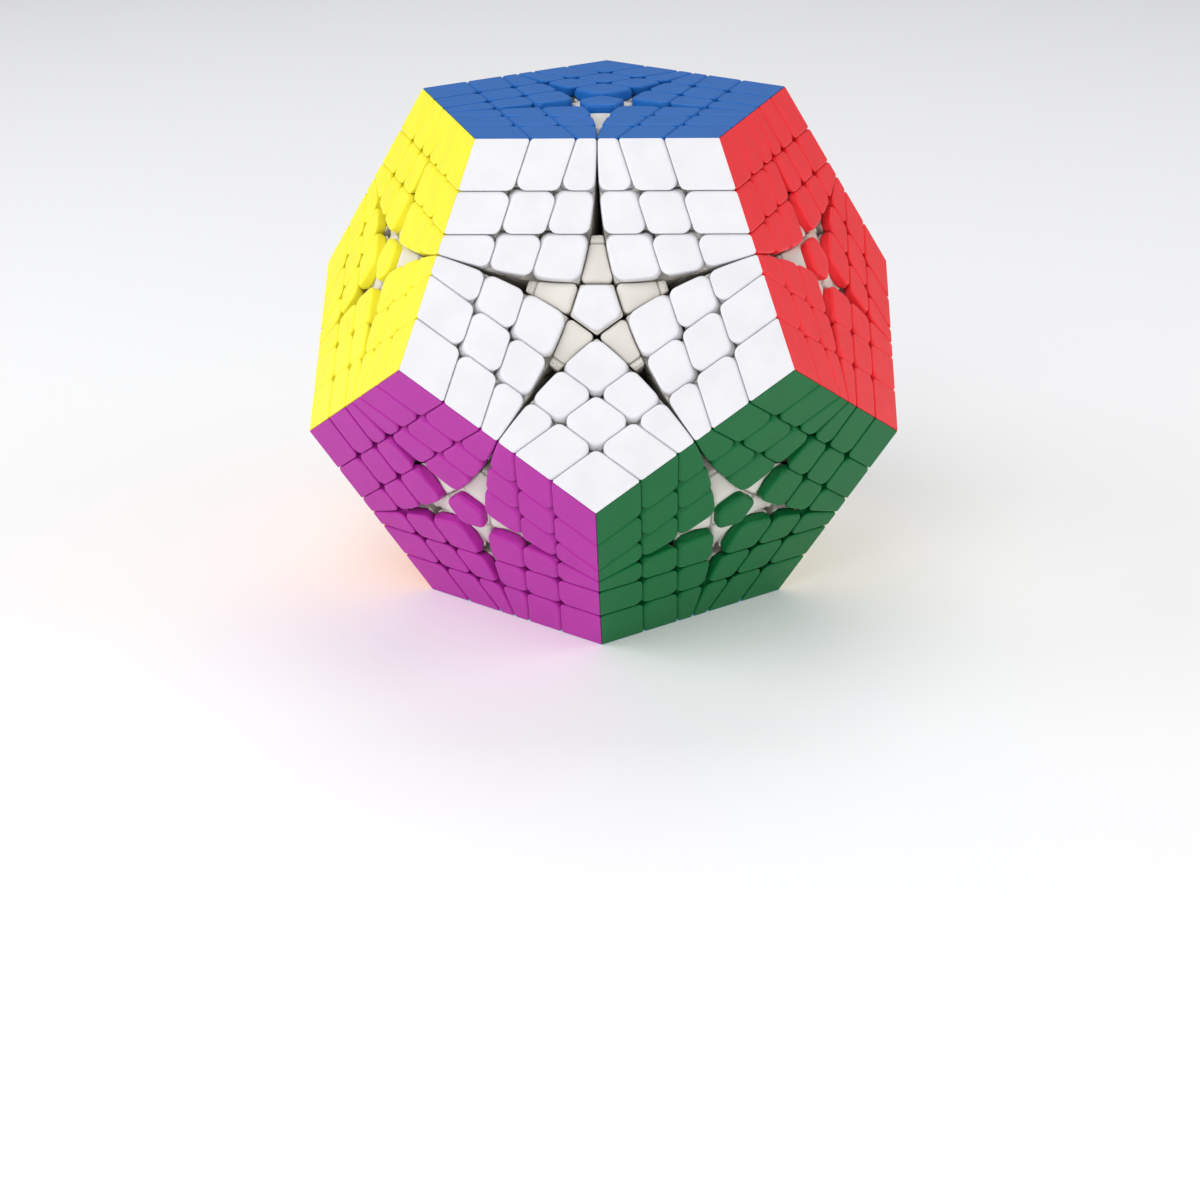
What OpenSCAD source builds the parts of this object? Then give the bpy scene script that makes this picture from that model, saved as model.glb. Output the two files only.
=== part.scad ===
// Dodecahedron twisty puzzle with three turning layers under each of its twelve faces.
// Every face carries a block of three by three tiles at each of its five corners, a small
// pentagonal cap at its middle and a star-shaped gap between them, with recessed arm pieces in it.
// The origin is the middle of the face that the puzzle stands on, with +Z up.

/* [Body] */
// Length of one edge of the dodecahedron
edge = 44; // [40:0.5:48]
// Depth of the outer layer, measured down from its face
outer_layer = 8.7; // [8.2:0.1:9.2]
// Thickness of the middle layer
middle_layer = 7; // [6.5:0.1:7.5]

/* [Fits] */
// Distance between two neighbouring layers
layer_gap = 0.26; // [0.24:0.02:0.4]
// Hairline between two colours of one piece
colour_gap = 0.05; // [0.02:0.01:0.1]
// Clearance between a screw and its bore
screw_clearance = 0.05; // [0.03:0.01:0.15]

/* [Tiles and arms] */
// Thickness of a coloured tile
tile_depth = 5; // [4:0.25:6]
// Depth of the inner arm pieces below the face
inner_arm_depth = 3; // [2:0.25:4]
// Depth of the outer arm pieces below the face
outer_arm_depth = 6.5; // [5:0.25:8]
// Distance from the middle of a centre cap to its sides
centre_apothem = 4.15; // [3.9:0.05:4.3]
// Height of a centre cap
centre_height = 6; // [4:0.5:8]

/* [Core] */
// Outer radius of the hollow core
core_radius = 24.5; // [22:0.5:25]
// Wall of the hollow core
core_wall = 2.5; // [2:0.25:4]
// Radius of the bosses that take the screws
boss_radius = 3.5; // [3:0.25:4]
// Distance from the puzzle's middle to the inner end of a boss
boss_start = 13; // [12:0.5:16]
// Distance from the puzzle's middle to the inner ends of the pieces
foot_end = 26; // [25.5:0.25:28]
// Radius of a screw's shank
screw_radius = 1; // [0.8:0.1:1.2]
// Radius of a screw's head
head_radius = 1.8; // [1.5:0.1:2]

/* [Hidden] */
$fn = 120;

golden = (1 + sqrt(5)) / 2;
ring_tilt = atan(1 / 2);
apothem = edge / (2 * tan(36));
inradius = edge * golden * golden / (2 * sqrt(3 - golden));
half_gap = layer_gap / 2;

// The third cut is a cone from the puzzle's middle through the middles of the edges, so that
// the layers of two faces that aren't neighbours never reach each other.
inner_cut_angle = (90 + ring_tilt) / 2;
// The other two cuts are flat near the surface and become steeper cones around the core.
outer_stem_angle = 43;
middle_stem_angle = 51;
outer_knee = 45;
middle_knee = 44;
flat_cut = 1.2;
near = 5;
reach = 52;
outer_cut_height = inradius - outer_layer;
middle_cut_height = inradius - outer_layer - middle_layer;
under_tiles = inradius - tile_depth - colour_gap;

// Piece bodies: their clearance from a cut that they lie inside, and from one that they lie
// outside, where their flat sides dip towards it. Then the distance where the cuts bend, and a
// distance near their tops for working the tops out.
body_gap = 0.3;
outside_gap = 0.6;
waist = 44.5;
top_guess = 47;

// Arm pieces: their clearance from the tiles, and the distances and heights of their outlines
arm_gap = 0.25;
inner_arm_end = 11.5;
inner_arm_waist = [9.1, 43];
inner_arm_foot = [8.2, 39];
outer_arm_tops = [10.8, 15.5];
outer_arm_feet = [9.2, 13.5];
outer_arm_foot = 37;

// Room for a stalk: the narrow cone that the five neighbours' inner cuts leave around an axis
stalk_angle = 90 - ring_tilt - inner_cut_angle;
stalk_clearance = 0.25;
spring_seat = 36;
head_seat = 41;
head_height = 1.2;
wire_radius = 0.3;
spring_turns = 6;
dowel_radius = 0.8;
dowel_length = 6;

// Faces: name, turn about Z, tilt above the horizontal, direction of the first edge, colour
FACES = [
    ["blue", 0, 90, 270, [0.10, 0.40, 0.78]],
    ["white", 0, ring_tilt, 90, [0.93, 0.93, 0.94]],
    ["red", 72, ring_tilt, 90, [0.93, 0.12, 0.15]],
    ["pink", 144, ring_tilt, 90, [0.97, 0.52, 0.68]],
    ["lime", -144, ring_tilt, 90, [0.55, 0.85, 0.20]],
    ["yellow", -72, ring_tilt, 90, [1.00, 0.93, 0.10]],
    ["purple", -36, -ring_tilt, 270, [0.52, 0.14, 0.58]],
    ["green", 36, -ring_tilt, 270, [0.04, 0.45, 0.22]],
    ["cream", 108, -ring_tilt, 270, [0.93, 0.88, 0.66]],
    ["grey", 180, -ring_tilt, 270, [0.48, 0.50, 0.52]],
    ["orange", -108, -ring_tilt, 270, [0.98, 0.50, 0.08]],
    ["sky", 0, -90, 270, [0.45, 0.76, 0.93]]
];
ALL_FACES = [for (f = [0 : len(FACES) - 1]) f];

// Faces that turn, as [face, number of its layers that turn]. No two of them are neighbours.
TURNING = [[0, 3], [6, 3], [8, 1]];
LAYER_NAMES = ["", "outer_layer", "middle_layer", "inner_layer"];

function face_name(f) = FACES[f][0];

function face_normal(f) = [
    cos(FACES[f][2]) * sin(FACES[f][1]),
    -cos(FACES[f][2]) * cos(FACES[f][1]),
    sin(FACES[f][2])
];

function are_neighbours(a, b) = a != b && face_normal(a) * face_normal(b) > 0.4;

function neighbours(f) = [for (b = ALL_FACES) if (are_neighbours(f, b)) b];

// The five corners of a face, each as its two other faces
function corners(f) = [
    for (b = neighbours(f), y = neighbours(f))
        if (b < y && are_neighbours(b, y)) [b, y]
];

// A body is [face, layer], and the fixed body is [-1, 0].
FIXED = [-1, 0];
BODIES = concat([for (t = TURNING, layer = [1 : t[1]]) [t[0], layer]], [FIXED]);

// The body that the piece in the given layers of up to three faces belongs to
function body_of(places) =
    let (found = [for (p = places, t = TURNING) if (p[0] == t[0] && p[1] <= t[1]) p])
    len(found) > 0 ? found[0] : FIXED;

function tile_places(f, b, i, y, j) = [[f, 1], [b, i], [y, j]];

// Every tile of a face that belongs to a body, as [corner's two faces, layer of each]
function tiles_of(body, f) = [
    for (c = corners(f), i = [1 : 3], j = [1 : 3])
        if (body_of(tile_places(f, c[0], i, c[1], j)) == body) [c[0], i, c[1], j]
];

function body_name(body) =
    body == FIXED ? "fixed" : str(face_name(body[0]), "_", LAYER_NAMES[body[1]]);

function tile_node(body, f) = str(body_name(body), "_", face_name(f), "_tiles");

function inner_node(body) = str(body_name(body), "_inner_pieces");

TILE_NODES = [for (body = BODIES, f = ALL_FACES) if (len(tiles_of(body, f)) > 0) tile_node(body, f)];

// Places its children on the axis of a face, with the puzzle's middle at z = 0
module on_axis(f) {
    translate([0, 0, inradius])
        rotate([0, 0, FACES[f][1]])
            rotate([90 - FACES[f][2], 0, 0])
                children();
}

function at_angle(distance, angle) = [distance * sin(angle), distance * cos(angle)];

// The three cuts as lines in the half-plane of a face's axis, from the core outwards
function cut_line(i) =
    i == 1 ? [
        at_angle(near, outer_stem_angle),
        at_angle(outer_knee, outer_stem_angle),
        [apothem + outer_layer / 2 - flat_cut, outer_cut_height],
        [reach, outer_cut_height]
    ] :
    i == 2 ? [
        at_angle(near, middle_stem_angle),
        at_angle(middle_knee, middle_stem_angle),
        [apothem + (outer_layer + middle_layer) / 2 - flat_cut, middle_cut_height],
        [reach, middle_cut_height]
    ] :
    [
        at_angle(near, inner_cut_angle),
        [reach, reach / tan(inner_cut_angle)]
    ];

// A cut line moved to the outer side of its gap, or to the inner side
function outer_side(line) = [for (p = line) p + half_gap * [-1, 1]];
function inner_side(line) = [for (p = line) p + half_gap * [1, -1]];
function reversed(line) = [for (k = [len(line) - 1 : -1 : 0]) line[k]];

function layer_outline(i) =
    i == 1 ? concat([[0, near]], outer_side(cut_line(1)), [[reach, inradius + 1], [0, inradius + 1]]) :
    concat(inner_side(cut_line(i - 1)), reversed(outer_side(cut_line(i))));

// A whole layer of a face. Its revolve starts at a corner of the face, between two tiles.
module layer(f, i) {
    on_axis(f)
        rotate([0, 0, FACES[f][3] + 36])
            rotate_extrude()
                polygon(layer_outline(i));
}

// A pentagonal frustum about a face's axis whose sides run to the puzzle's middle
module frustum(f, top_apothem, bottom, top) {
    start = FACES[f][3] + 36;
    slope = top_apothem / (top * cos(36));
    on_axis(f)
        polyhedron(
            points = [for (z = [bottom, top], k = [0 : 4])
                [slope * z * cos(start + 72 * k), slope * z * sin(start + 72 * k), z]],
            faces = concat(
                [[0, 1, 2, 3, 4], [9, 8, 7, 6, 5]],
                [for (k = [0 : 4]) [k, k + 5, (k + 1) % 5 + 5, (k + 1) % 5]]
            )
        );
}

// The coloured tile of face f in layer i of face b and layer j of face y
module tile(f, b, i, y, j) {
    intersection() {
        frustum(f, apothem - colour_gap / 2, inradius - tile_depth, inradius);
        layer(b, i);
        layer(y, j);
    }
}

module centre_cap(f) {
    frustum(f, centre_apothem, inradius - centre_height, inradius);
}

module face_tiles(body, f) {
    color(FACES[f][4]) {
        for (t = tiles_of(body, f))
            tile(f, t[0], t[1], t[2], t[3]);
        if (body_of([[f, 1]]) == body)
            centre_cap(f);
    }
}

// The point on the slanted part of a cut line at a given distance from the puzzle's middle
function slant_point(line, distance) =
    let (along = unit(line[2] - line[1]), foot = line[1] - (line[1] * along) * along)
    foot + sqrt(distance * distance - foot * foot) * along;

// The angle of a cut from its axis at a given distance from the puzzle's middle. For a body
// inside the cut (side -1) the slanted part runs on, so that its flat sides clear the bend.
function cut_angle(i, distance, side) =
    i == 3 ? inner_cut_angle :
    let (line = cut_line(i))
    distance <= norm(line[1]) ? atan2(line[1].x, line[1].y) :
    distance >= norm(line[2]) && side > 0 ? acos(line[2].y / distance) :
    let (p = slant_point(line, distance))
    atan2(p.x, p.y);

// The angle kept by a piece body inside a cut (side -1) or outside it (side 1)
function kept_angle(i, distance, side) =
    cut_angle(i, distance, side)
    + side * (side > 0 ? outside_gap : body_gap) / distance * 180 / PI;

function unit(v) = v / norm(v);

// The direction at the given angles from two neighbouring normals, on the side of a third
function direction(a, angle_a, b, angle_b, third) =
    let (
        c = a * b,
        s = (cos(angle_a) - c * cos(angle_b)) / (1 - c * c),
        t = (cos(angle_b) - c * cos(angle_a)) / (1 - c * c),
        up = cross(a, b) * sign(cross(a, b) * third),
        u = sqrt(max(0, 1 - s * s - t * t - 2 * s * t * c) / (1 - c * c))
    )
    s * a + t * b + u * up;

// The direction midway between two normals at an angle from a third
function middle_direction(a, b, third, angle) =
    let (across = unit(a + b), along = unit(across - (across * third) * third))
    cos(angle) * third + sin(angle) * along;

// The outline of a piece body as directions at one distance, for a face piece, a wing and a corner
function face_piece_ring(w, b, i, y, j, distance) = [
    for (k = [[0, 0], [1, 0], [1, 1], [0, 1]])
        direction(
            b, kept_angle(i - 1 + k[0], distance, 1 - 2 * k[0]),
            y, kept_angle(j - 1 + k[1], distance, 1 - 2 * k[1]),
            w
        )
];

function wing_ring(w, b, y, j, distance) =
    let (
        side = kept_angle(1, distance, -1),
        low = kept_angle(j - 1, distance, 1),
        high = kept_angle(j, distance, -1)
    )
    [
        direction(w, side, y, low, b),
        middle_direction(w, b, y, low),
        direction(b, side, y, low, w),
        direction(b, side, y, high, w),
        middle_direction(w, b, y, high),
        direction(w, side, y, high, b)
    ];

function corner_ring(w, b, y, distance) =
    let (side = kept_angle(1, distance, -1))
    [
        direction(w, side, b, side, y),
        middle_direction(w, y, b, side),
        direction(b, side, y, side, w),
        middle_direction(b, w, y, side),
        direction(y, side, w, side, b),
        middle_direction(y, b, w, side)
    ];

// The distance along a direction to the underside of the tiles, on the first of the piece's own
// faces that it reaches
function own_distance(direction, own) = under_tiles / max([for (n = own) direction * n]);

// Whether the outline runs counter-clockwise as seen from outside the puzzle
function runs_outward(ring) =
    let (n = len(ring))
    sum([for (k = [0 : n - 1]) cross(ring[k], ring[(k + 1) % n]) * ring[0]]) > 0;

// The body of a piece under its tiles, down to the core, with an optional peak in the middle.
// The rings that it joins are not flat, so they are joined by triangles that all lean the same
// way from a corner of the outline to the middle of its side.
module wedge(foot_ring, waist_ring, top_points, side_middles = [], peak = []) {
    n = len(foot_ring);
    middle = unit([for (axis = [0 : 2]) sum([for (d = foot_ring) d[axis]])]);
    foot_points = [for (d = foot_ring) d * foot_end / (d * middle)];
    waist_points = [for (d = waist_ring) d * waist];
    function leans_back(k) = len([for (m = side_middles) if (m == k) m]) > 0;
    translate([0, 0, inradius])
        polyhedron(
            points = concat(foot_points, waist_points, top_points, peak),
            faces = concat(
                [[for (k = [0 : n - 1]) k]],
                [for (r = [0, 1], k = [0 : n - 1])
                    each let (a = r * n + k, b = r * n + (k + 1) % n)
                        leans_back(k) ?
                            [[a, a + n, b], [b, a + n, b + n]] :
                            [[a, a + n, b + n], [a, b + n, b]]],
                len(peak) > 0 ? [for (k = [0 : n - 1]) [2 * n + k, 3 * n, 2 * n + (k + 1) % n]] :
                n == 4 ? [[3 * n - 1, 3 * n - 2, 3 * n - 3, 3 * n - 4]] :
                ridge_faces(n)
            )
        );
}

// The two sloping faces of a wing's body. They meet in the ridge between points 1 and 4.
function ridge_faces(n) = [
    [2 * n, 2 * n + 5, 2 * n + 4, 2 * n + 1],
    [2 * n + 1, 2 * n + 4, 2 * n + 3, 2 * n + 2]
];

function sum(list) = list * [for (v = list) 1];

// A piece with two or three tiles has its body made once, under the tile of its first face.
module piece_body(f, b, i, y, j) {
    nf = face_normal(f);
    nb = face_normal(b);
    ny = face_normal(y);
    if (i == 1 && j == 1 && f < b && f < y)
        corner_body(nf, nb, ny);
    if (i == 1 && j > 1 && f < b)
        wing_body(nf, nb, ny, j);
    if (i > 1 && j == 1 && f < y)
        wing_body(nf, ny, nb, i);
    if (i > 1 && j > 1)
        face_piece_body(nf, nb, i, ny, j);
}

// The directions of the corners of a body's top, worked out at their own distances in two rounds
function top_directions(ring, own) =
    let (
        rough = ring(top_guess),
        corners = [0 : len(rough) - 1],
        better = [for (k = corners) ring(own_distance(rough[k], own))[k]]
    )
    [for (k = corners) ring(own_distance(better[k], own))[k]];

function top_points(ring, own) =
    [for (d = top_directions(ring, own)) d * own_distance(d, own)];

module face_piece_body(w, b, i, y, j) {
    ring = function (distance)
        let (r = face_piece_ring(w, b, i, y, j, distance))
        runs_outward(r) ? r : face_piece_ring(w, y, j, b, i, distance);
    wedge(ring(foot_end), ring(waist), top_points(ring, [w]));
}

module wing_body(w, b, y, j) {
    ring = function (distance)
        let (r = wing_ring(w, b, y, j, distance))
        runs_outward(r) ? r : wing_ring(b, w, y, j, distance);
    wedge(ring(foot_end), ring(waist), top_points(ring, [w, b]), [1, 4]);
}

module corner_body(w, b, y) {
    ring = function (distance)
        let (r = corner_ring(w, b, y, distance))
        runs_outward(r) ? r : corner_ring(b, w, y, distance);
    peak = unit(w + b + y);
    wedge(
        ring(foot_end),
        ring(waist),
        top_points(ring, [w, b, y]),
        [1, 3, 5],
        [peak * own_distance(peak, [w])]
    );
}

// Half the width of the gap between the blocks of tiles, at a height above the puzzle's middle
// and a distance from the face's axis towards one of its edges
function gap_half_width(y, z) =
    (cos(inner_cut_angle) * norm([y, z]) - cos(90 - ring_tilt) * z - sin(90 - ring_tilt) * cos(72) * y)
    / (sin(90 - ring_tilt) * sin(72));

// An arm piece from its outline in the plane of two face axes, as [distance, height] points
module arm(f, b, outline) {
    n = len(outline);
    toward = face_normal(b) - cos(90 - ring_tilt) * face_normal(f);
    along = unit(toward);
    across = cross(along, face_normal(f));
    points = [for (side = [-1, 1], p = outline)
        side * (gap_half_width(p.x, p.y) - arm_gap) * across + p.x * along + p.y * face_normal(f)];
    translate([0, 0, inradius])
        polyhedron(
            points = points,
            faces = concat(
                [for (k = [1 : n - 2]) [0, k + 1, k]],
                [for (k = [1 : n - 2]) [n, n + k, n + k + 1]],
                [for (k = [0 : n - 1]) [k, (k + 1) % n, n + (k + 1) % n, n + k]]
            )
        );
}

// Where an inner arm starts at a height: clear of the centre cap's stalk
function arm_start(z) = z * tan(stalk_angle) + arm_gap;

// Outline of an inner arm, between the stalk and the middle layer
inner_arm = [
    [arm_start(inradius - inner_arm_depth), inradius - inner_arm_depth],
    [inner_arm_end, inradius - inner_arm_depth],
    inner_arm_waist,
    inner_arm_foot,
    [arm_start(inner_arm_foot.y), inner_arm_foot.y]
];

// Outline of an outer arm, between the outer and the inner layer
outer_arm = [
    [outer_arm_tops[0], inradius - outer_arm_depth],
    [outer_arm_tops[1], inradius - outer_arm_depth],
    [outer_arm_feet[1], outer_arm_foot],
    [outer_arm_feet[0], outer_arm_foot]
];

function stalk_radius(z) = z * tan(stalk_angle) - stalk_clearance;

// The hollow stalk under a centre cap, with a seat for the spring
module stalk(f) {
    top = inradius - centre_height - colour_gap;
    bore = screw_radius + screw_clearance;
    seat = head_radius + 2 * screw_clearance;
    on_axis(f)
        rotate_extrude()
            polygon([
                [bore, foot_end],
                [stalk_radius(foot_end), foot_end],
                [stalk_radius(top), top],
                [seat, top],
                [seat, spring_seat],
                [bore, spring_seat]
            ]);
}

module inner_pieces(body) {
    color([0.85, 0.82, 0.76]) {
        for (f = ALL_FACES, t = tiles_of(body, f))
            piece_body(f, t[0], t[1], t[2], t[3]);
        for (f = ALL_FACES, b = neighbours(f), i = [2, 3])
            if (body_of([[f, 1], [b, i]]) == body)
                arm(f, b, i == 3 ? inner_arm : outer_arm);
        for (f = ALL_FACES)
            if (body_of([[f, 1]]) == body)
                stalk(f);
    }
}

// One screw: a shank into the core's boss and a head inside the stalk
module centre_screw(f) {
    on_axis(f)
        rotate_extrude()
            polygon([
                [0, boss_start + 1],
                [screw_radius, boss_start + 1],
                [screw_radius, head_seat],
                [head_radius, head_seat],
                [head_radius, head_seat + head_height],
                [0, head_seat + head_height]
            ]);
}

// A close-wound spring between the stalk's seat and the screw's head, clear of both and the shank
module centre_spring(f) {
    start = spring_seat + screw_clearance;
    end = head_seat - screw_clearance;
    pitch = (end - start) / spring_turns;
    inside = screw_radius + 2 * screw_clearance;
    outside = inside + 2 * wire_radius;
    on_axis(f)
        rotate_extrude()
            polygon(concat(
                [[inside, start]],
                [for (k = [0 : spring_turns - 1], s = [0, 1])
                    [outside - (1 - s) * wire_radius, start + pitch * (k + s / 2)]],
                [[inside, end]]
            ));
}

module core_half(side) {
    seam = colour_gap / 2;
    boss_end = core_radius - core_wall / 2;
    color([0.2, 0.2, 0.22])
        difference() {
            intersection() {
                union() {
                    translate([0, 0, inradius])
                        difference() {
                            sphere(core_radius);
                            sphere(core_radius - core_wall);
                        }
                    for (f = ALL_FACES)
                        if (face_normal(f).z * side > 0)
                            on_axis(f)
                                translate([0, 0, boss_start])
                                    cylinder(r = boss_radius, h = boss_end - boss_start);
                }
                translate([-reach, -reach, inradius + (side > 0 ? seam : -reach)])
                    cube([2 * reach, 2 * reach, reach - seam]);
            }
            for (f = ALL_FACES)
                if (face_normal(f).z * side > 0)
                    on_axis(f)
                        translate([0, 0, boss_start - 1])
                            cylinder(r = screw_radius + screw_clearance, h = reach);
            core_dowels(screw_clearance);
        }
}

// Dowels that line the two halves of the core up
module core_dowels(extra = 0) {
    color([0.75, 0.76, 0.78])
        for (k = [0 : 4])
            translate([0, 0, inradius])
                rotate([0, 0, 18 + 72 * k])
                    translate([core_radius - core_wall / 2, 0, -dowel_length / 2 - extra])
                        cylinder(r = dowel_radius + extra, h = dowel_length + 2 * extra);
}

module centre_screws() {
    color([0.75, 0.76, 0.78])
        for (f = ALL_FACES)
            centre_screw(f);
}

module centre_springs() {
    color([0.75, 0.76, 0.78])
        for (f = ALL_FACES)
            centre_spring(f);
}

for (body = BODIES, f = ALL_FACES)
    if (len(tiles_of(body, f)) > 0)
        face_tiles(body, f);
for (body = BODIES)
    inner_pieces(body);
core_half(1);  // core_upper_half
core_half(-1);  // core_lower_half
core_dowels();
centre_screws();
centre_springs();
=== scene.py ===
import math

import bmesh
import bpy
import numpy as np
from mathutils import Matrix, Vector


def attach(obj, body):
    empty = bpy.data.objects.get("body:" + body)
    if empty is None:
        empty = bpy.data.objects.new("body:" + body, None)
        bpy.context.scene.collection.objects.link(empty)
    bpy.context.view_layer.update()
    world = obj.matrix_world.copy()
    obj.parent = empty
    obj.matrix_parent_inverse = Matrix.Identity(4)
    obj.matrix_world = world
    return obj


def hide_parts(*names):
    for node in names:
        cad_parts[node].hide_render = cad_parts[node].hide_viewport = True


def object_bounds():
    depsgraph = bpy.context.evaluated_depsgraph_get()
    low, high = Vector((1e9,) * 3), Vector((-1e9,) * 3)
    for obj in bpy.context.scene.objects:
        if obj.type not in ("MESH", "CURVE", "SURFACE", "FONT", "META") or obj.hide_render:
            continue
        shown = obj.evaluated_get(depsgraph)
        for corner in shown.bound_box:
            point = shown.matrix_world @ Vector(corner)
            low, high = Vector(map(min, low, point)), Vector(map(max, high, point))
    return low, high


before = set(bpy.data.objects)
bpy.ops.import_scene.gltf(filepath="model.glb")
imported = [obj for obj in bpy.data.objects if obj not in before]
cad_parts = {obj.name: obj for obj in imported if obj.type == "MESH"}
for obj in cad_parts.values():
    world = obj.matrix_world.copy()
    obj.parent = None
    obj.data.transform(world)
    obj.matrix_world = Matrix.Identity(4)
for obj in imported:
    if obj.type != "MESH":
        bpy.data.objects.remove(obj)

CAD_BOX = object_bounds()
MM = 0.001

# ---------------------------------------------------------------- sizes, all in metres
# The dodecahedron, which stands on one face
INRADIUS = (CAD_BOX[1].z - CAD_BOX[0].z) / 2
CENTRE = Vector((0, 0, CAD_BOX[0].z + INRADIUS))
GOLDEN = (1 + math.sqrt(5)) / 2
EDGE = 2 * INRADIUS * math.sqrt(3 - GOLDEN) / GOLDEN ** 2
APOTHEM = EDGE / (2 * math.tan(math.radians(36)))
TILT = math.atan(0.5)                   # of the slanting faces' axes, above the horizontal
NEIGHBOUR = math.pi / 2 - TILT          # between the axes of two neighbouring faces

# The cuts between the layers, numbered from the outside in. Cuts 1 and 2 are a cone up to a knee,
# then a slant, then flat. Cut 3 is a plain cone.
STEM_ANGLES = {1: math.radians(43), 2: math.radians(51)}
KNEES = {1: 45 * MM, 2: 44 * MM}        # distance of the knee from the puzzle's middle
CUT_HEIGHTS = {1: INRADIUS - 8.7 * MM, 2: INRADIUS - 15.7 * MM}
INNER_CUT = (math.pi / 2 + TILT) / 2    # angle of cut 3's cone
FLAT_CUT = 1.2 * MM                     # width of the flat part, up to the puzzle's surface
CUT_START = 2 * MM
REACH = 60 * MM                         # beyond the puzzle's corners

# The tiles
SEAM = 0.09 * MM                # half of the gap between two layers
COLOUR_LINE = 0.012 * MM        # half of the gap between two colours of one piece
TILE_DEPTH = 5 * MM
SHELL_DEPTH = 2.2 * MM          # the coloured shell, over an off-white base
SHELL_RINGS = [0.8 * MM, 1.2 * MM, 1.7 * MM, SHELL_DEPTH]
BASE_RINGS = [2.4 * MM, 2.7 * MM, 3.2 * MM, 3.7 * MM, 4.3 * MM, TILE_DEPTH]
BASE_INSET = 0.11 * MM          # of a base, from the shell over it
OVERLAP = 0.05 * MM             # of a part with the one it stands under
FILLET = 0.4 * MM               # round along a tile's top edge
EDGE_FILLET = 0.14 * MM         # the same, along the dodecahedron's edges
TOP_INSET = 1.35                # start of a tile's flat top, in fillets from its side
CORNER = 1.65 * MM              # round at a tile's corner, seen from above
CENTRE_CORNER = 2.2 * MM        # the same, at the corner next to the centre cap
EDGE_CORNER = 0.42 * MM         # the same, where a seam meets an edge
TIP_CORNER = 0.16 * MM          # the same, at the dodecahedron's corners
BASE_CORNER = 0.4 * MM          # the same, on the off-white bases
CORNER_SHRINK = 0.7             # how fast a corner's round shrinks along the fillet
SMALLEST_CORNER = 0.05 * MM
ARC_STEPS, SIDE_STEPS = 6, 5
BASE_ARC_STEPS, BASE_SIDE_STEPS = 2, 4
FILLET_STEPS = 4

# The centre caps, and the off-white collars around their feet
CAP_APOTHEM = 3.95 * MM
CAP_CORNER = 1.75 * MM
CAP_FILLET = 0.75 * MM
CAP_HEIGHT = 6 * MM
CAP_RINGS = [1.5 * MM, 3.5 * MM, CAP_HEIGHT]
SMALLEST_CAP_CORNER = 0.1 * MM
COLLAR_DEPTH = 1.8 * MM
COLLAR_APOTHEM = 4.1 * MM
COLLAR_CORNER = 0.5 * MM
COLLAR_CHAMFER = 0.2 * MM

# The off-white arms in the star-shaped gaps. The inner one ends at cut 2, where the outer one starts.
CAD_ARM_DEPTHS = (3 * MM, 6.5 * MM)     # tops of the CAD's arms, under the face
ARM_TOLERANCE = 0.05 * MM               # for telling them by that
ARM_DEPTH = 2.7 * MM                    # tip of the inner arm, under the face
ARM_RISE = 1.3 * MM                     # the inner arm is this much higher at the cap than at its tip
ARM_STEP = 0.05 * MM                    # from the inner arm's tip down to the outer arm
ARM_REACH = 13.3 * MM                   # end of the outer arm, from the face's axis
ARM_GAP = 0.04 * MM                     # between an arm and the blocks of tiles beside it
ARM_CLEARANCE = 0.12 * MM               # between an arm and the cut that ends it
ARM_START = 0.16 * MM                   # from the foot of the gap to the inner arm
ARM_STEPS = 18
NARROWEST_ARM = 0.1 * MM                # half its width
WIDEST_ROUND = 0.8                      # of an arm's end, as a part of half its width
INNER_ARM_ROUNDS = (1.3 * MM, 0.3 * MM)     # at the start and at the end, seen from above
OUTER_ARM_ROUNDS = (0.3 * MM, 0.45 * MM)
ARM_ROUND = 0.5 * MM                    # round along an arm's crest
CREST_STEPS = 3
CREST_HEIGHT = 0.1 * MM                 # middle of the crest, above its round
CREST_INSET = 1.7                       # the same, in rounds from the arm's side
INNER_ARM_DROP = 1.1 * MM               # from the crest to where the sides run straight down
OUTER_ARM_DROP = 1.3 * MM
INNER_ARM_RINGS = (3 * MM, 7 * MM)      # below the tip, down to the foot
OUTER_ARM_RINGS = (3.5 * MM, 9 * MM)

BODY_BEVEL = 0.35 * MM                  # on the sharp edges of the bodies under the tiles
BEVELLED_ANGLE = math.radians(25)

# Faces: name, turn about Z and tilt above the horizontal, in degrees
RING = math.degrees(TILT)
FACES = [
    ("blue", 0, 90),
    ("white", 0, RING),
    ("red", 72, RING),
    ("pink", 144, RING),
    ("lime", -144, RING),
    ("yellow", -72, RING),
    ("purple", -36, -RING),
    ("green", 36, -RING),
    ("cream", 108, -RING),
    ("grey", 180, -RING),
    ("orange", -108, -RING),
    ("sky", 0, -90),
]
TURNING = {"blue": 3, "purple": 3, "cream": 1}     # how many layers of a face turn
LAYERS = ["", "outer_layer", "middle_layer", "inner_layer"]


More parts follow.
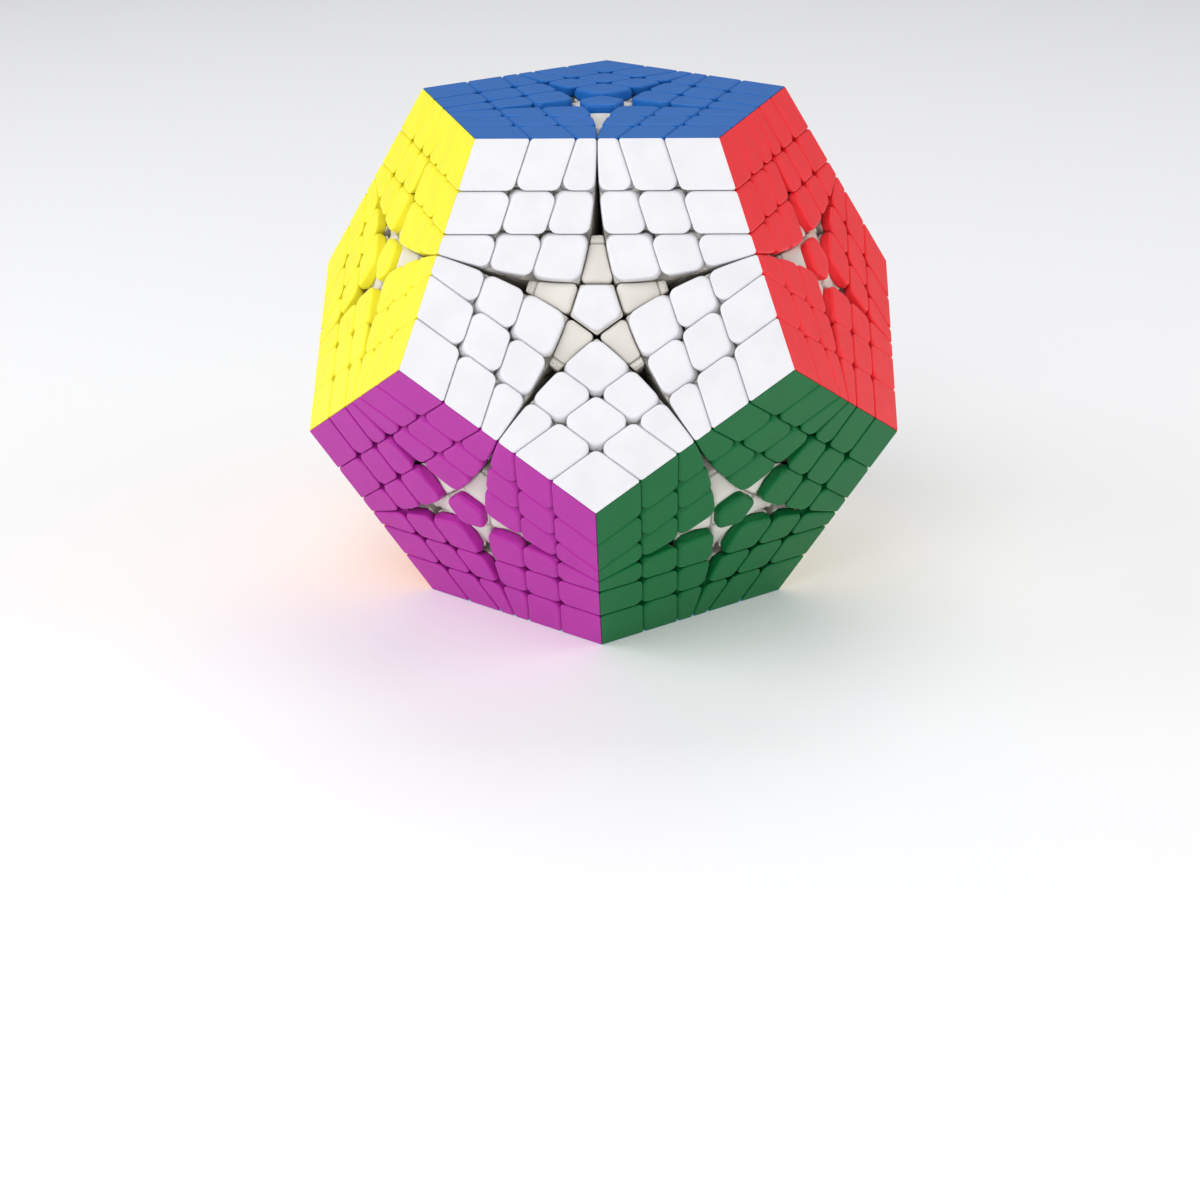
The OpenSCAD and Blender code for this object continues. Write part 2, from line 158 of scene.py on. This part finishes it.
# ---------------------------------------------------------------- materials
def plastic(name, colour, roughness=0.36, texture=0.5):
    """Satin moulded plastic: faint clouds in the colour, a fine moulded texture and uneven gloss."""
    m = bpy.data.materials.new(name)
    m.use_nodes = True
    nodes, links = m.node_tree.nodes, m.node_tree.links
    bsdf = nodes["Principled BSDF"]
    where = nodes.new("ShaderNodeTexCoord")

    def noise(scale, detail):
        n = nodes.new("ShaderNodeTexNoise")
        n.inputs["Scale"].default_value = scale
        n.inputs["Detail"].default_value = detail
        links.new(where.outputs["Object"], n.inputs["Vector"])
        return n.outputs["Fac"]

    clouds = nodes.new("ShaderNodeValToRGB")
    clouds.color_ramp.elements[0].position = 0.35
    clouds.color_ramp.elements[1].position = 0.65
    clouds.color_ramp.elements[0].color = (*[c * 0.965 for c in colour], 1)
    clouds.color_ramp.elements[1].color = (*[min(1, c * 1.02) for c in colour], 1)
    links.new(noise(scale=160, detail=3), clouds.inputs["Fac"])
    links.new(clouds.outputs["Color"], bsdf.inputs["Base Color"])

    gloss = nodes.new("ShaderNodeMapRange")
    gloss.inputs["To Min"].default_value = roughness - 0.05
    gloss.inputs["To Max"].default_value = roughness + 0.06
    links.new(noise(scale=420, detail=4), gloss.inputs["Value"])
    links.new(gloss.outputs["Result"], bsdf.inputs["Roughness"])

    fine = nodes.new("ShaderNodeBump")
    fine.inputs["Strength"].default_value = texture
    fine.inputs["Distance"].default_value = 0.006 * MM
    links.new(noise(scale=5200, detail=2), fine.inputs["Height"])
    soft = nodes.new("ShaderNodeBump")
    soft.inputs["Strength"].default_value = 0.35
    soft.inputs["Distance"].default_value = 0.02 * MM
    links.new(noise(scale=240, detail=2), soft.inputs["Height"])
    links.new(fine.outputs["Normal"], soft.inputs["Normal"])
    links.new(soft.outputs["Normal"], bsdf.inputs["Normal"])
    bsdf.inputs["IOR"].default_value = 1.5
    bsdf.inputs["Specular IOR Level"].default_value = 0.18
    return m


def steel(name):
    """Bright turned steel for the screws, springs and dowels."""
    m = plastic(name, (0.55, 0.56, 0.58), roughness=0.3, texture=0.3)
    m.node_tree.nodes["Principled BSDF"].inputs["Metallic"].default_value = 1
    return m


COLOURS = {
    "blue": (0.012, 0.135, 0.480),
    "white": (0.760, 0.755, 0.785),
    "red": (0.900, 0.034, 0.042),
    "pink": (0.900, 0.280, 0.440),
    "lime": (0.300, 0.660, 0.050),
    "yellow": (0.930, 0.840, 0.035),
    "purple": (0.425, 0.022, 0.330),
    "green": (0.003, 0.140, 0.036),
    "cream": (0.860, 0.780, 0.500),
    "grey": (0.220, 0.230, 0.250),
    "orange": (0.920, 0.250, 0.010),
    "sky": (0.200, 0.520, 0.800),
}
MATERIALS = {name: plastic(name + "_plastic", colour) for name, colour in COLOURS.items()}
INNER = plastic("inner_plastic", (0.73, 0.70, 0.64), roughness=0.45, texture=0.6)
CORE = plastic("core_plastic", (0.05, 0.05, 0.055), roughness=0.5, texture=0.6)
STEEL = steel("steel")


# ---------------------------------------------------------------- the cuts
def at_angle(distance, angle):
    """Radius and height of a point at a distance from the middle and an angle from the axis."""
    return (distance * math.sin(angle), distance * math.cos(angle))


def slab_apothem(depth):
    """Apothem of the dodecahedron's cross-section at a depth under a face."""
    return APOTHEM + depth / 2


def bent_cut(i):
    """Profile of cut 1 or 2 as radii and heights."""
    angle, height = STEM_ANGLES[i], CUT_HEIGHTS[i]
    return [
        at_angle(CUT_START, angle),
        at_angle(KNEES[i], angle),
        (slab_apothem(INRADIUS - height) - FLAT_CUT, height),
        (REACH, height),
    ]


CUTS = {
    1: bent_cut(1),
    2: bent_cut(2),
    3: [at_angle(CUT_START, INNER_CUT), at_angle(1.2 * REACH, INNER_CUT)],
}


def inside_cut(point, axis, i, flat=False):
    """Distance of a point from cut i of a face's axis, positive on the outer layers' side. With
    flat, only the cut's flat part counts."""
    z = point @ axis
    if flat:
        return z - CUT_HEIGHTS[i]
    r = np.linalg.norm(point - z * axis)
    line = CUTS[i]
    best = None
    for (r0, z0), (r1, z1) in zip(line, line[1:]):
        length = math.hypot(r1 - r0, z1 - z0)
        ur, uz = (r1 - r0) / length, (z1 - z0) / length
        along = min(max((r - r0) * ur + (z - z0) * uz, 0), length)
        away = math.hypot(r - r0 - along * ur, z - z0 - along * uz)
        side = ur * (z - z0) - uz * (r - r0)
        if best is None or away < best[0] - 1e-12:
            best = (away, side)
    return math.copysign(best[0], best[1])


# ---------------------------------------------------------------- tile outlines
# In a tile's own frame the puzzle's middle is the origin, the face's axis is z, and the two
# neighbours whose layers it lies in are at 0 and 72 degrees around it.
UP = np.array([0.0, 0.0, 1.0])
AXES = [
    np.array([
        math.sin(NEIGHBOUR) * math.cos(math.radians(72 * k)),
        math.sin(NEIGHBOUR) * math.sin(math.radians(72 * k)),
        math.cos(NEIGHBOUR),
    ])
    for k in (0, 1)
]
SLOPE_STEP = 0.001 * MM     # for the slope of a side
NEWTON_STEPS = 12           # to find a corner
SIDE_REFINEMENTS = 3        # to bring a point onto a side
BISECTIONS = 30             # to find where an arm meets a cut


def tile_sides(i, j):
    """The four sides of tile (i, j) as functions of a point: how far inside that side it is."""
    sides = []
    for axis, layer in ((AXES[0], i), (AXES[1], j)):
        if layer == 1:
            mitre = (UP - axis) / np.linalg.norm(UP - axis)
            sides.append(lambda p, m=mitre: p @ m)
        else:
            sides.append(lambda p, a=axis, k=layer - 1: -inside_cut(p, a, k))
    for axis, layer in ((AXES[0], i), (AXES[1], j)):
        sides.append(lambda p, a=axis, k=layer: inside_cut(p, a, k, flat=k == 2))
    return sides


def measure(side, x, y, z):
    """In-plane distance from a side, and the in-plane direction into the tile."""
    h = SLOPE_STEP
    g = side(np.array([x, y, z]))
    gx = (side(np.array([x + h, y, z])) - side(np.array([x - h, y, z]))) / (2 * h)
    gy = (side(np.array([x, y + h, z])) - side(np.array([x, y - h, z]))) / (2 * h)
    n = math.hypot(gx, gy)
    return g / n, gx / n, gy / n


def corner_centre(first, second, d1, d2, z, guess):
    """The point at height z that is d1 inside one side and d2 inside the other."""
    x, y = guess
    for _ in range(NEWTON_STEPS):
        g1, a1, b1 = measure(first, x, y, z)
        g2, a2, b2 = measure(second, x, y, z)
        e1, e2 = d1 - g1, d2 - g2
        det = a1 * b2 - a2 * b1
        x += (e1 * b2 - e2 * b1) / det
        y += (a1 * e2 - a2 * e1) / det
    return x, y


def outline(sides, insets, rounds, z, guesses, arc_steps=ARC_STEPS, side_steps=SIDE_STEPS):
    """A rounded outline at height z, counter-clockwise, and the middles of its corner rounds."""
    n = len(sides)
    centres, normals = [], []
    for k in range(n):
        m = (k + 1) % n
        r = rounds[k]
        x, y = corner_centre(sides[k], sides[m], insets[k] + r, insets[m] + r, z, guesses[k])
        centres.append((x, y))
        normals.append((measure(sides[k], x, y, z)[1:], measure(sides[m], x, y, z)[1:]))
    points = []
    for k in range(n):
        (x, y), (first, second) = centres[k], normals[k]
        a0 = math.atan2(-first[1], -first[0])
        a1 = math.atan2(-second[1], -second[0])
        while a1 < a0:
            a1 += 2 * math.pi
        for s in range(arc_steps + 1):
            a = a0 + (a1 - a0) * s / arc_steps
            points.append((x + rounds[k] * math.cos(a), y + rounds[k] * math.sin(a)))
        # along the next side to the start of the next round
        m = (k + 1) % n
        (nx, ny), first = centres[m], normals[m][0]
        end = (nx - rounds[m] * first[0], ny - rounds[m] * first[1])
        start = points[-1]
        for s in range(1, side_steps):
            t = s / side_steps
            px = start[0] + (end[0] - start[0]) * t
            py = start[1] + (end[1] - start[1]) * t
            for _ in range(SIDE_REFINEMENTS):
                g, a, b = measure(sides[m], px, py, z)
                px += (insets[m] - g) * a
                py += (insets[m] - g) * b
            points.append((px, py))
    return points, centres


def fillet_rings(fillet, depths):
    """Rings of a part with a rounded top edge, as (depth, how much of the fillet is cut away)."""
    rings = [(0.0, TOP_INSET)]
    for s in range(FILLET_STEPS + 1):
        a = math.pi / 2 * s / FILLET_STEPS
        rings.append((fillet * (1 - math.cos(a)), 1 - math.sin(a)))
    return rings + [(d, 0.0) for d in depths]


def loft(rings):
    """Vertices and faces of a closed solid through rings of points, from its top to its bottom."""
    n = len(rings[0])
    verts = np.array([p for ring in rings for p in ring])
    faces = [list(range(n))]
    for r in range(len(rings) - 1):
        for k in range(n):
            m = (k + 1) % n
            faces.append([r * n + k, (r + 1) * n + k, (r + 1) * n + m, r * n + m])
    last = (len(rings) - 1) * n
    faces.append([last + k for k in reversed(range(n))])
    return verts, faces


def tile_templates(i, j):
    """The coloured shell of tile (i, j), and the off-white base with sharper corners under it."""
    sides = tile_sides(i, j)
    seams = [COLOUR_LINE if i == 1 else SEAM, COLOUR_LINE if j == 1 else SEAM, SEAM, SEAM]
    fillets = [EDGE_FILLET if i == 1 else FILLET, EDGE_FILLET if j == 1 else FILLET, FILLET, FILLET]
    on_edges = (i == 1) + (j == 1)
    rounds = [
        (CORNER, EDGE_CORNER, TIP_CORNER)[on_edges],
        EDGE_CORNER if j == 1 else CORNER,
        CENTRE_CORNER if i == 3 and j == 3 else CORNER,
        EDGE_CORNER if i == 1 else CORNER,
    ]
    # a point inside the two outer sides is near enough to every corner to start from
    start = corner_centre(sides[0], sides[1], 3 * MM, 3 * MM, INRADIUS, (9 * MM, 6 * MM))
    guesses = [start] * 4
    shell = []
    for depth, cut in fillet_rings(FILLET, SHELL_RINGS):
        z = INRADIUS - depth
        insets = [s + f * cut for s, f in zip(seams, fillets)]
        radii = [max(SMALLEST_CORNER, r - CORNER_SHRINK * FILLET * cut) for r in rounds]
        points, guesses = outline(sides, insets, radii, z, guesses)
        shell.append([(x, y, z) for x, y in points])
    base = []
    insets = [s + BASE_INSET for s in seams]
    radii = [min(r, BASE_CORNER) for r in rounds]
    for depth in [SHELL_DEPTH - OVERLAP] + BASE_RINGS:
        z = INRADIUS - depth
        points, guesses = outline(
            sides, insets, radii, z, guesses, BASE_ARC_STEPS, BASE_SIDE_STEPS)
        base.append([(x, y, z) for x, y in points])
    return loft(shell), loft(base)


def pentagon_template(apothem, corner, rings_at):
    """A rounded pentagon whose sides run to the puzzle's middle, with its first side at 0 degrees.
    Each ring is its depth and how far it is drawn in."""
    def side(k):
        a = math.radians(72 * k)
        return lambda p: apothem * p[2] / INRADIUS - (p[0] * math.cos(a) + p[1] * math.sin(a))
    sides = [side(k) for k in range(5)]
    starts = [math.radians(72 * k + 36) for k in range(5)]
    guesses = [(3 * MM * math.cos(a), 3 * MM * math.sin(a)) for a in starts]
    rings = []
    for depth, inset in rings_at:
        z = INRADIUS - depth
        radius = max(SMALLEST_CAP_CORNER, corner - CORNER_SHRINK * inset)
        points, guesses = outline(sides, [inset] * 5, [radius] * 5, z, guesses)
        rings.append([(x, y, z) for x, y in points])
    return loft(rings)


# ---------------------------------------------------------------- placing
def face_matrix(face):
    """From a face's own frame, with the puzzle's middle as its origin, to the shared frame."""
    _, turn, tilt = face
    return (
        Matrix.Translation(CENTRE)
        @ Matrix.Rotation(math.radians(turn), 4, "Z")
        @ Matrix.Rotation(math.radians(90 - tilt), 4, "X")
    )


def normal(face):
    """Direction of a face's axis."""
    return (face_matrix(face).to_3x3() @ Vector((0, 0, 1))).normalized()


def neighbours_in_order(face):
    """The five neighbours, with the angle in the face's own frame at which each one lies."""
    found = []
    inverse = face_matrix(face).to_3x3().inverted()
    for other in FACES:
        # the faces that aren't neighbours all point away from this one
        if other is not face and normal(face).dot(normal(other)) > 0:
            d = inverse @ normal(other)
            found.append((math.degrees(math.atan2(d.y, d.x)) % 360, other))
    return sorted(found, key=lambda f: f[0])


def body_of(places):
    """The body that moves a piece which lies in these layers, given as (face's name, layer)."""
    for name, layer in places:
        if layer <= TURNING.get(name, 0):
            return name + "_" + LAYERS[layer]
    return "core"


def node_prefix(body):
    """How the names of a body's CAD nodes start."""
    return "fixed" if body == "core" else body


def moved(verts, matrix):
    """Vertices after a rigid motion."""
    m = np.array(matrix)
    return verts @ m[:3, :3].T + m[:3, 3]


class Gather:
    """Collects the solids of one piece."""

    def __init__(self):
        self.verts, self.faces, self.count = [], [], 0

    def add(self, verts, faces):
        self.verts.append(verts)
        self.faces += [[v + self.count for v in f] for f in faces]
        self.count += len(verts)

    def build(self, name, material):
        mesh = bpy.data.meshes.new(name)
        mesh.from_pydata(np.concatenate(self.verts).tolist(), [], self.faces)
        mesh.validate()
        mesh.shade_smooth()
        mesh.materials.append(material)
        obj = bpy.data.objects.new(name, mesh)
        bpy.context.scene.collection.objects.link(obj)
        return obj


def make_tiles():
    """One object of coloured shells and caps for each tile node. Returns the bases by body."""
    templates = {(i, j): tile_templates(i, j) for i in (1, 2, 3) for j in (1, 2, 3)}
    cap_rings = [(d, CAP_FILLET * cut) for d, cut in fillet_rings(CAP_FILLET, CAP_RINGS)]
    cap = pentagon_template(CAP_APOTHEM, CAP_CORNER, cap_rings)
    shells, bases = {}, {}
    for face in FACES:
        name = face[0]
        around = neighbours_in_order(face)
        place = face_matrix(face)
        for k, (angle, first) in enumerate(around):
            second = around[(k + 1) % 5][1]
            matrix = place @ Matrix.Rotation(math.radians(angle), 4, "Z")
            for (i, j), (shell, base) in templates.items():
                body = body_of([(name, 1), (first[0], i), (second[0], j)])
                shells.setdefault((body, name), Gather()).add(moved(shell[0], matrix), shell[1])
                bases.setdefault(body, Gather()).add(moved(base[0], matrix), base[1])
        body = body_of([(name, 1)])
        matrix = place @ Matrix.Rotation(math.radians(around[0][0]), 4, "Z")
        shells.setdefault((body, name), Gather()).add(moved(cap[0], matrix), cap[1])
    for (body, name), gather in shells.items():
        node = node_prefix(body) + "_" + name + "_tiles"
        obj = gather.build("tiles_" + node_prefix(body) + "_" + name, MATERIALS[name])
        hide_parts(node)
        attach(obj, body)
    return bases


# ---------------------------------------------------------------- inner arms
def gap_half_width(y, z):
    """Half the width of the gap between two blocks of tiles, at a distance from the face's axis."""
    return (
        math.cos(INNER_CUT) * math.hypot(y, z)
        - math.cos(NEIGHBOUR) * z
        - math.sin(NEIGHBOUR) * math.cos(math.radians(72)) * y
    ) / (math.sin(NEIGHBOUR) * math.sin(math.radians(72)))


def clear_of_cut(z, cut, clearance):
    """How far out along an arm a height comes to a clearance from a cut of the face ahead."""
    # the cut lies somewhere in between
    low, high = 0.0, 20 * MM
    for _ in range(BISECTIONS):
        y = (low + high) / 2
        if inside_cut(np.array([y, 0.0, z]), AXES[0], cut) < clearance:
            low = y
        else:
            high = y
    return low


def arm_rings(levels, start, end, rounds):
    """Rings of an arm along 0 degrees. A level is a height at both ends and an inset."""
    rings = []
    for z_start, z_end, inset in levels:
        right, left = [], []
        for s in range(ARM_STEPS + 1):
            t = (1 - math.cos(math.pi * s / ARM_STEPS)) / 2
            z = z_start + (z_end - z_start) * t
            y0, y1 = start(z_start) + inset, end(z_end) - inset
            y = y0 + (y1 - y0) * t
            w = max(gap_half_width(y, z) + SEAM - ARM_GAP - inset, NARROWEST_ARM)
            # the corners at both ends are rounded
            r = min(rounds[0] if t < 0.5 else rounds[1], WIDEST_ROUND * w)
            near = min(y - y0, y1 - y)
            if near < r:
                w -= r - math.sqrt(max(0, r * r - (r - near) ** 2))
            right.append((y, -w, z))
            left.append((y, w, z))
        rings.append(right + left[::-1])
    return rings


def arm_levels(z_start, z_end, drop, depths):
    """Levels of an arm: a rounded crest, a drop below it, then flat ones at depths under its end."""
    levels = [(z_start + CREST_HEIGHT, z_end + CREST_HEIGHT, CREST_INSET * ARM_ROUND)]
    for s in range(CREST_STEPS + 1):
        a = math.pi / 2 * s / CREST_STEPS
        down = ARM_ROUND * (1 - math.cos(a))
        levels.append((z_start - down, z_end - down, ARM_ROUND * (1 - math.sin(a))))
    levels.append((z_start - drop, z_end - drop, 0.0))
    return levels + [(z_end - d, z_end - d, 0.0) for d in depths]


def arm_templates():
    """The inner and the outer arm in a face's own frame, reaching out along 0 degrees."""
    tip = INRADIUS - ARM_DEPTH
    inner = arm_rings(
        arm_levels(tip + ARM_RISE, tip, INNER_ARM_DROP, INNER_ARM_RINGS),
        lambda z: math.tan(NEIGHBOUR - INNER_CUT) * z + ARM_START,
        lambda z: clear_of_cut(z, 2, -ARM_CLEARANCE),
        INNER_ARM_ROUNDS,
    )
    top = tip - ARM_STEP
    outer = arm_rings(
        arm_levels(top, top, OUTER_ARM_DROP, OUTER_ARM_RINGS),
        lambda z: clear_of_cut(z, 2, ARM_CLEARANCE),
        lambda z: ARM_REACH,
        OUTER_ARM_ROUNDS,
    )
    return loft(inner), loft(outer)


def loose_parts(obj):
    """The mesh of a CAD node as its separate solids."""
    bm = bmesh.new()
    bm.from_mesh(obj.data)
    bmesh.ops.remove_doubles(bm, verts=bm.verts, dist=1e-7)
    bm.verts.ensure_lookup_table()
    seen = set()
    for v in bm.verts:
        if v.index in seen:
            continue
        stack, group = [v], []
        seen.add(v.index)
        while stack:
            u = stack.pop()
            group.append(u)
            for e in u.link_edges:
                w = e.other_vert(u)
                if w.index not in seen:
                    seen.add(w.index)
                    stack.append(w)
        index = {u: n for n, u in enumerate(group)}
        faces = dict.fromkeys(f for u in group for f in u.link_faces)
        verts = np.array([u.co for u in group])
        yield verts, [[index[u] for u in f.verts] for f in faces]
    bm.free()


def make_inner_pieces(bases):
    """Bases, arms and collars, and the bodies and stalks that the CAD gives, for each body."""
    inner_arm, outer_arm = arm_templates()
    collar_rings = [
        (COLLAR_DEPTH, COLLAR_CHAMFER),
        (COLLAR_DEPTH + COLLAR_CHAMFER, 0),
        (CAP_HEIGHT - OVERLAP, 0),
    ]
    collar_apothem = COLLAR_APOTHEM * INRADIUS / (INRADIUS - COLLAR_DEPTH)
    collar = pentagon_template(collar_apothem, COLLAR_CORNER, collar_rings)
    arms = {}
    for face in FACES:
        place = face_matrix(face)
        around = neighbours_in_order(face)
        for angle, other in around:
            matrix = place @ Matrix.Rotation(math.radians(angle), 4, "Z")
            for layer, arm in ((3, inner_arm), (2, outer_arm)):
                body = body_of([(face[0], 1), (other[0], layer)])
                arms.setdefault(body, Gather()).add(moved(arm[0], matrix), arm[1])
        matrix = place @ Matrix.Rotation(math.radians(around[0][0]), 4, "Z")
        arms.setdefault(body_of([(face[0], 1)]), Gather()).add(moved(collar[0], matrix), collar[1])
    normals = [np.array(normal(f)) for f in FACES]
    middle = np.array(CENTRE)
    for name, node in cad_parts.items():
        if not name.endswith("_inner_pieces"):
            continue
        body = name.removesuffix("_inner_pieces")
        body = "core" if body == "fixed" else body
        bodies = Gather()
        for verts, faces in loose_parts(node):
            # the arms are the only parts whose tops lie at the arms' depths
            depth = INRADIUS - max(((verts - middle) @ n).max() for n in normals)
            if all(abs(depth - d) > ARM_TOLERANCE for d in CAD_ARM_DEPTHS):
                bodies.add(verts, faces)
        bodies_obj = bodies.build("bodies_" + node_prefix(body), INNER)
        bodies_obj.data.shade_flat()
        soften = bodies_obj.modifiers.new("edges", "BEVEL")
        soften.width = BODY_BEVEL
        soften.segments = 2
        soften.limit_method = "ANGLE"
        soften.angle_limit = BEVELLED_ANGLE
        bases_obj = bases[body].build("bases_" + node_prefix(body), INNER)
        arms_obj = arms[body].build("arms_" + node_prefix(body), INNER)
        for obj in (bodies_obj, bases_obj, arms_obj):
            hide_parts(name)
            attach(obj, body)


def finish_core():
    """The core, screws, springs and dowels stay as the CAD has them, with real materials."""
    for name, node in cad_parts.items():
        if name.startswith("core_") and name != "core_dowels":
            material = CORE
        elif name in ("core_dowels", "centre_screws", "centre_springs"):
            material = STEEL
        else:
            continue
        node.data.materials.clear()
        node.data.materials.append(material)


# ---------------------------------------------------------------- camera, floor and light
CAMERA_DISTANCE = 9.3 * INRADIUS
CAMERA_PLACE = (1.75, 18.55)    # turn to the right and height, in degrees
CAMERA_LOOK = (1.95, 25.03)     # the same, for the direction that it looks back along
CAMERA_ROLL = -0.7
FLOOR_SIZE = 12                 # from the middle to each side


def direction(turn, tilt):
    """Away from the puzzle: a turn to the right of the front and a tilt upwards, in degrees."""
    a, e = math.radians(turn), math.radians(tilt)
    return Vector((math.sin(a) * math.cos(e), -math.cos(a) * math.cos(e), math.sin(e)))


def make_camera():
    """The photograph's view. The puzzle is high in the frame, as it is in the photograph."""
    data = bpy.data.cameras.new("camera")
    camera = bpy.data.objects.new("camera", data)
    bpy.context.scene.collection.objects.link(camera)
    data.sensor_width = 36
    data.lens = 67.6
    data.clip_start = 0.01
    data.clip_end = 40
    camera.location = CENTRE + direction(*CAMERA_PLACE) * CAMERA_DISTANCE
    camera.rotation_mode = "QUATERNION"
    look = (-direction(*CAMERA_LOOK)).to_track_quat("-Z", "Y")
    roll = Matrix.Rotation(math.radians(CAMERA_ROLL), 3, "Z").to_quaternion()
    camera.rotation_quaternion = look @ roll
    bpy.context.scene.camera = camera
    bpy.context.scene.view_settings.view_transform = "Standard"


def make_floor():
    """A large pale sheet."""
    mesh = bpy.data.meshes.new("floor")
    corners = [(-1, -1), (1, -1), (1, 1), (-1, 1)]
    verts = [(x * FLOOR_SIZE, y * FLOOR_SIZE, CAD_BOX[0].z) for x, y in corners]
    mesh.from_pydata(verts, [], [(0, 1, 2, 3)])
    floor = bpy.data.objects.new("floor", mesh)
    bpy.context.scene.collection.objects.link(floor)
    m = bpy.data.materials.new("floor_paper")
    m.use_nodes = True
    bsdf = m.node_tree.nodes["Principled BSDF"]
    bsdf.inputs["Base Color"].default_value = (0.86, 0.86, 0.87, 1)
    bsdf.inputs["Roughness"].default_value = 0.7
    bsdf.inputs["Emission Color"].default_value = (1, 1, 1, 1)
    bsdf.inputs["Emission Strength"].default_value = 0.12
    mesh.materials.append(m)


def area_light(name, turn, tilt, distance, size, power):
    """A white panel that faces the puzzle's middle."""
    data = bpy.data.lights.new(name, "AREA")
    data.shape = "RECTANGLE"
    data.size, data.size_y = size
    data.energy = power
    light = bpy.data.objects.new(name, data)
    bpy.context.scene.collection.objects.link(light)
    out = direction(turn, tilt)
    light.location = CENTRE + out * distance
    light.rotation_mode = "QUATERNION"
    light.rotation_quaternion = (-out).to_track_quat("-Z", "Y")


def make_light():
    """A dim, faintly cool world and five soft panels around the puzzle."""
    world = bpy.data.worlds.new("studio")
    world.use_nodes = True
    background = world.node_tree.nodes["Background"]
    background.inputs["Color"].default_value = (0.95, 0.97, 1.0, 1)
    background.inputs["Strength"].default_value = 0.3
    bpy.context.scene.world = world
    # turn and tilt in degrees, distance, width and height in metres, power in watts
    area_light("key", -28, 48, 0.9, (0.7, 0.7), 4.2)
    area_light("front", 6, 0, 1.1, (1.1, 0.7), 5.2)
    area_light("left", -85, 20, 0.9, (0.5, 0.7), 2.8)
    area_light("right", 82, 20, 0.9, (0.5, 0.7), 2.2)
    area_light("back", 180, 55, 1.0, (0.8, 0.5), 2.6)


make_inner_pieces(make_tiles())
finish_core()
make_camera()
make_floor()
make_light()

bpy.context.view_layer.update()
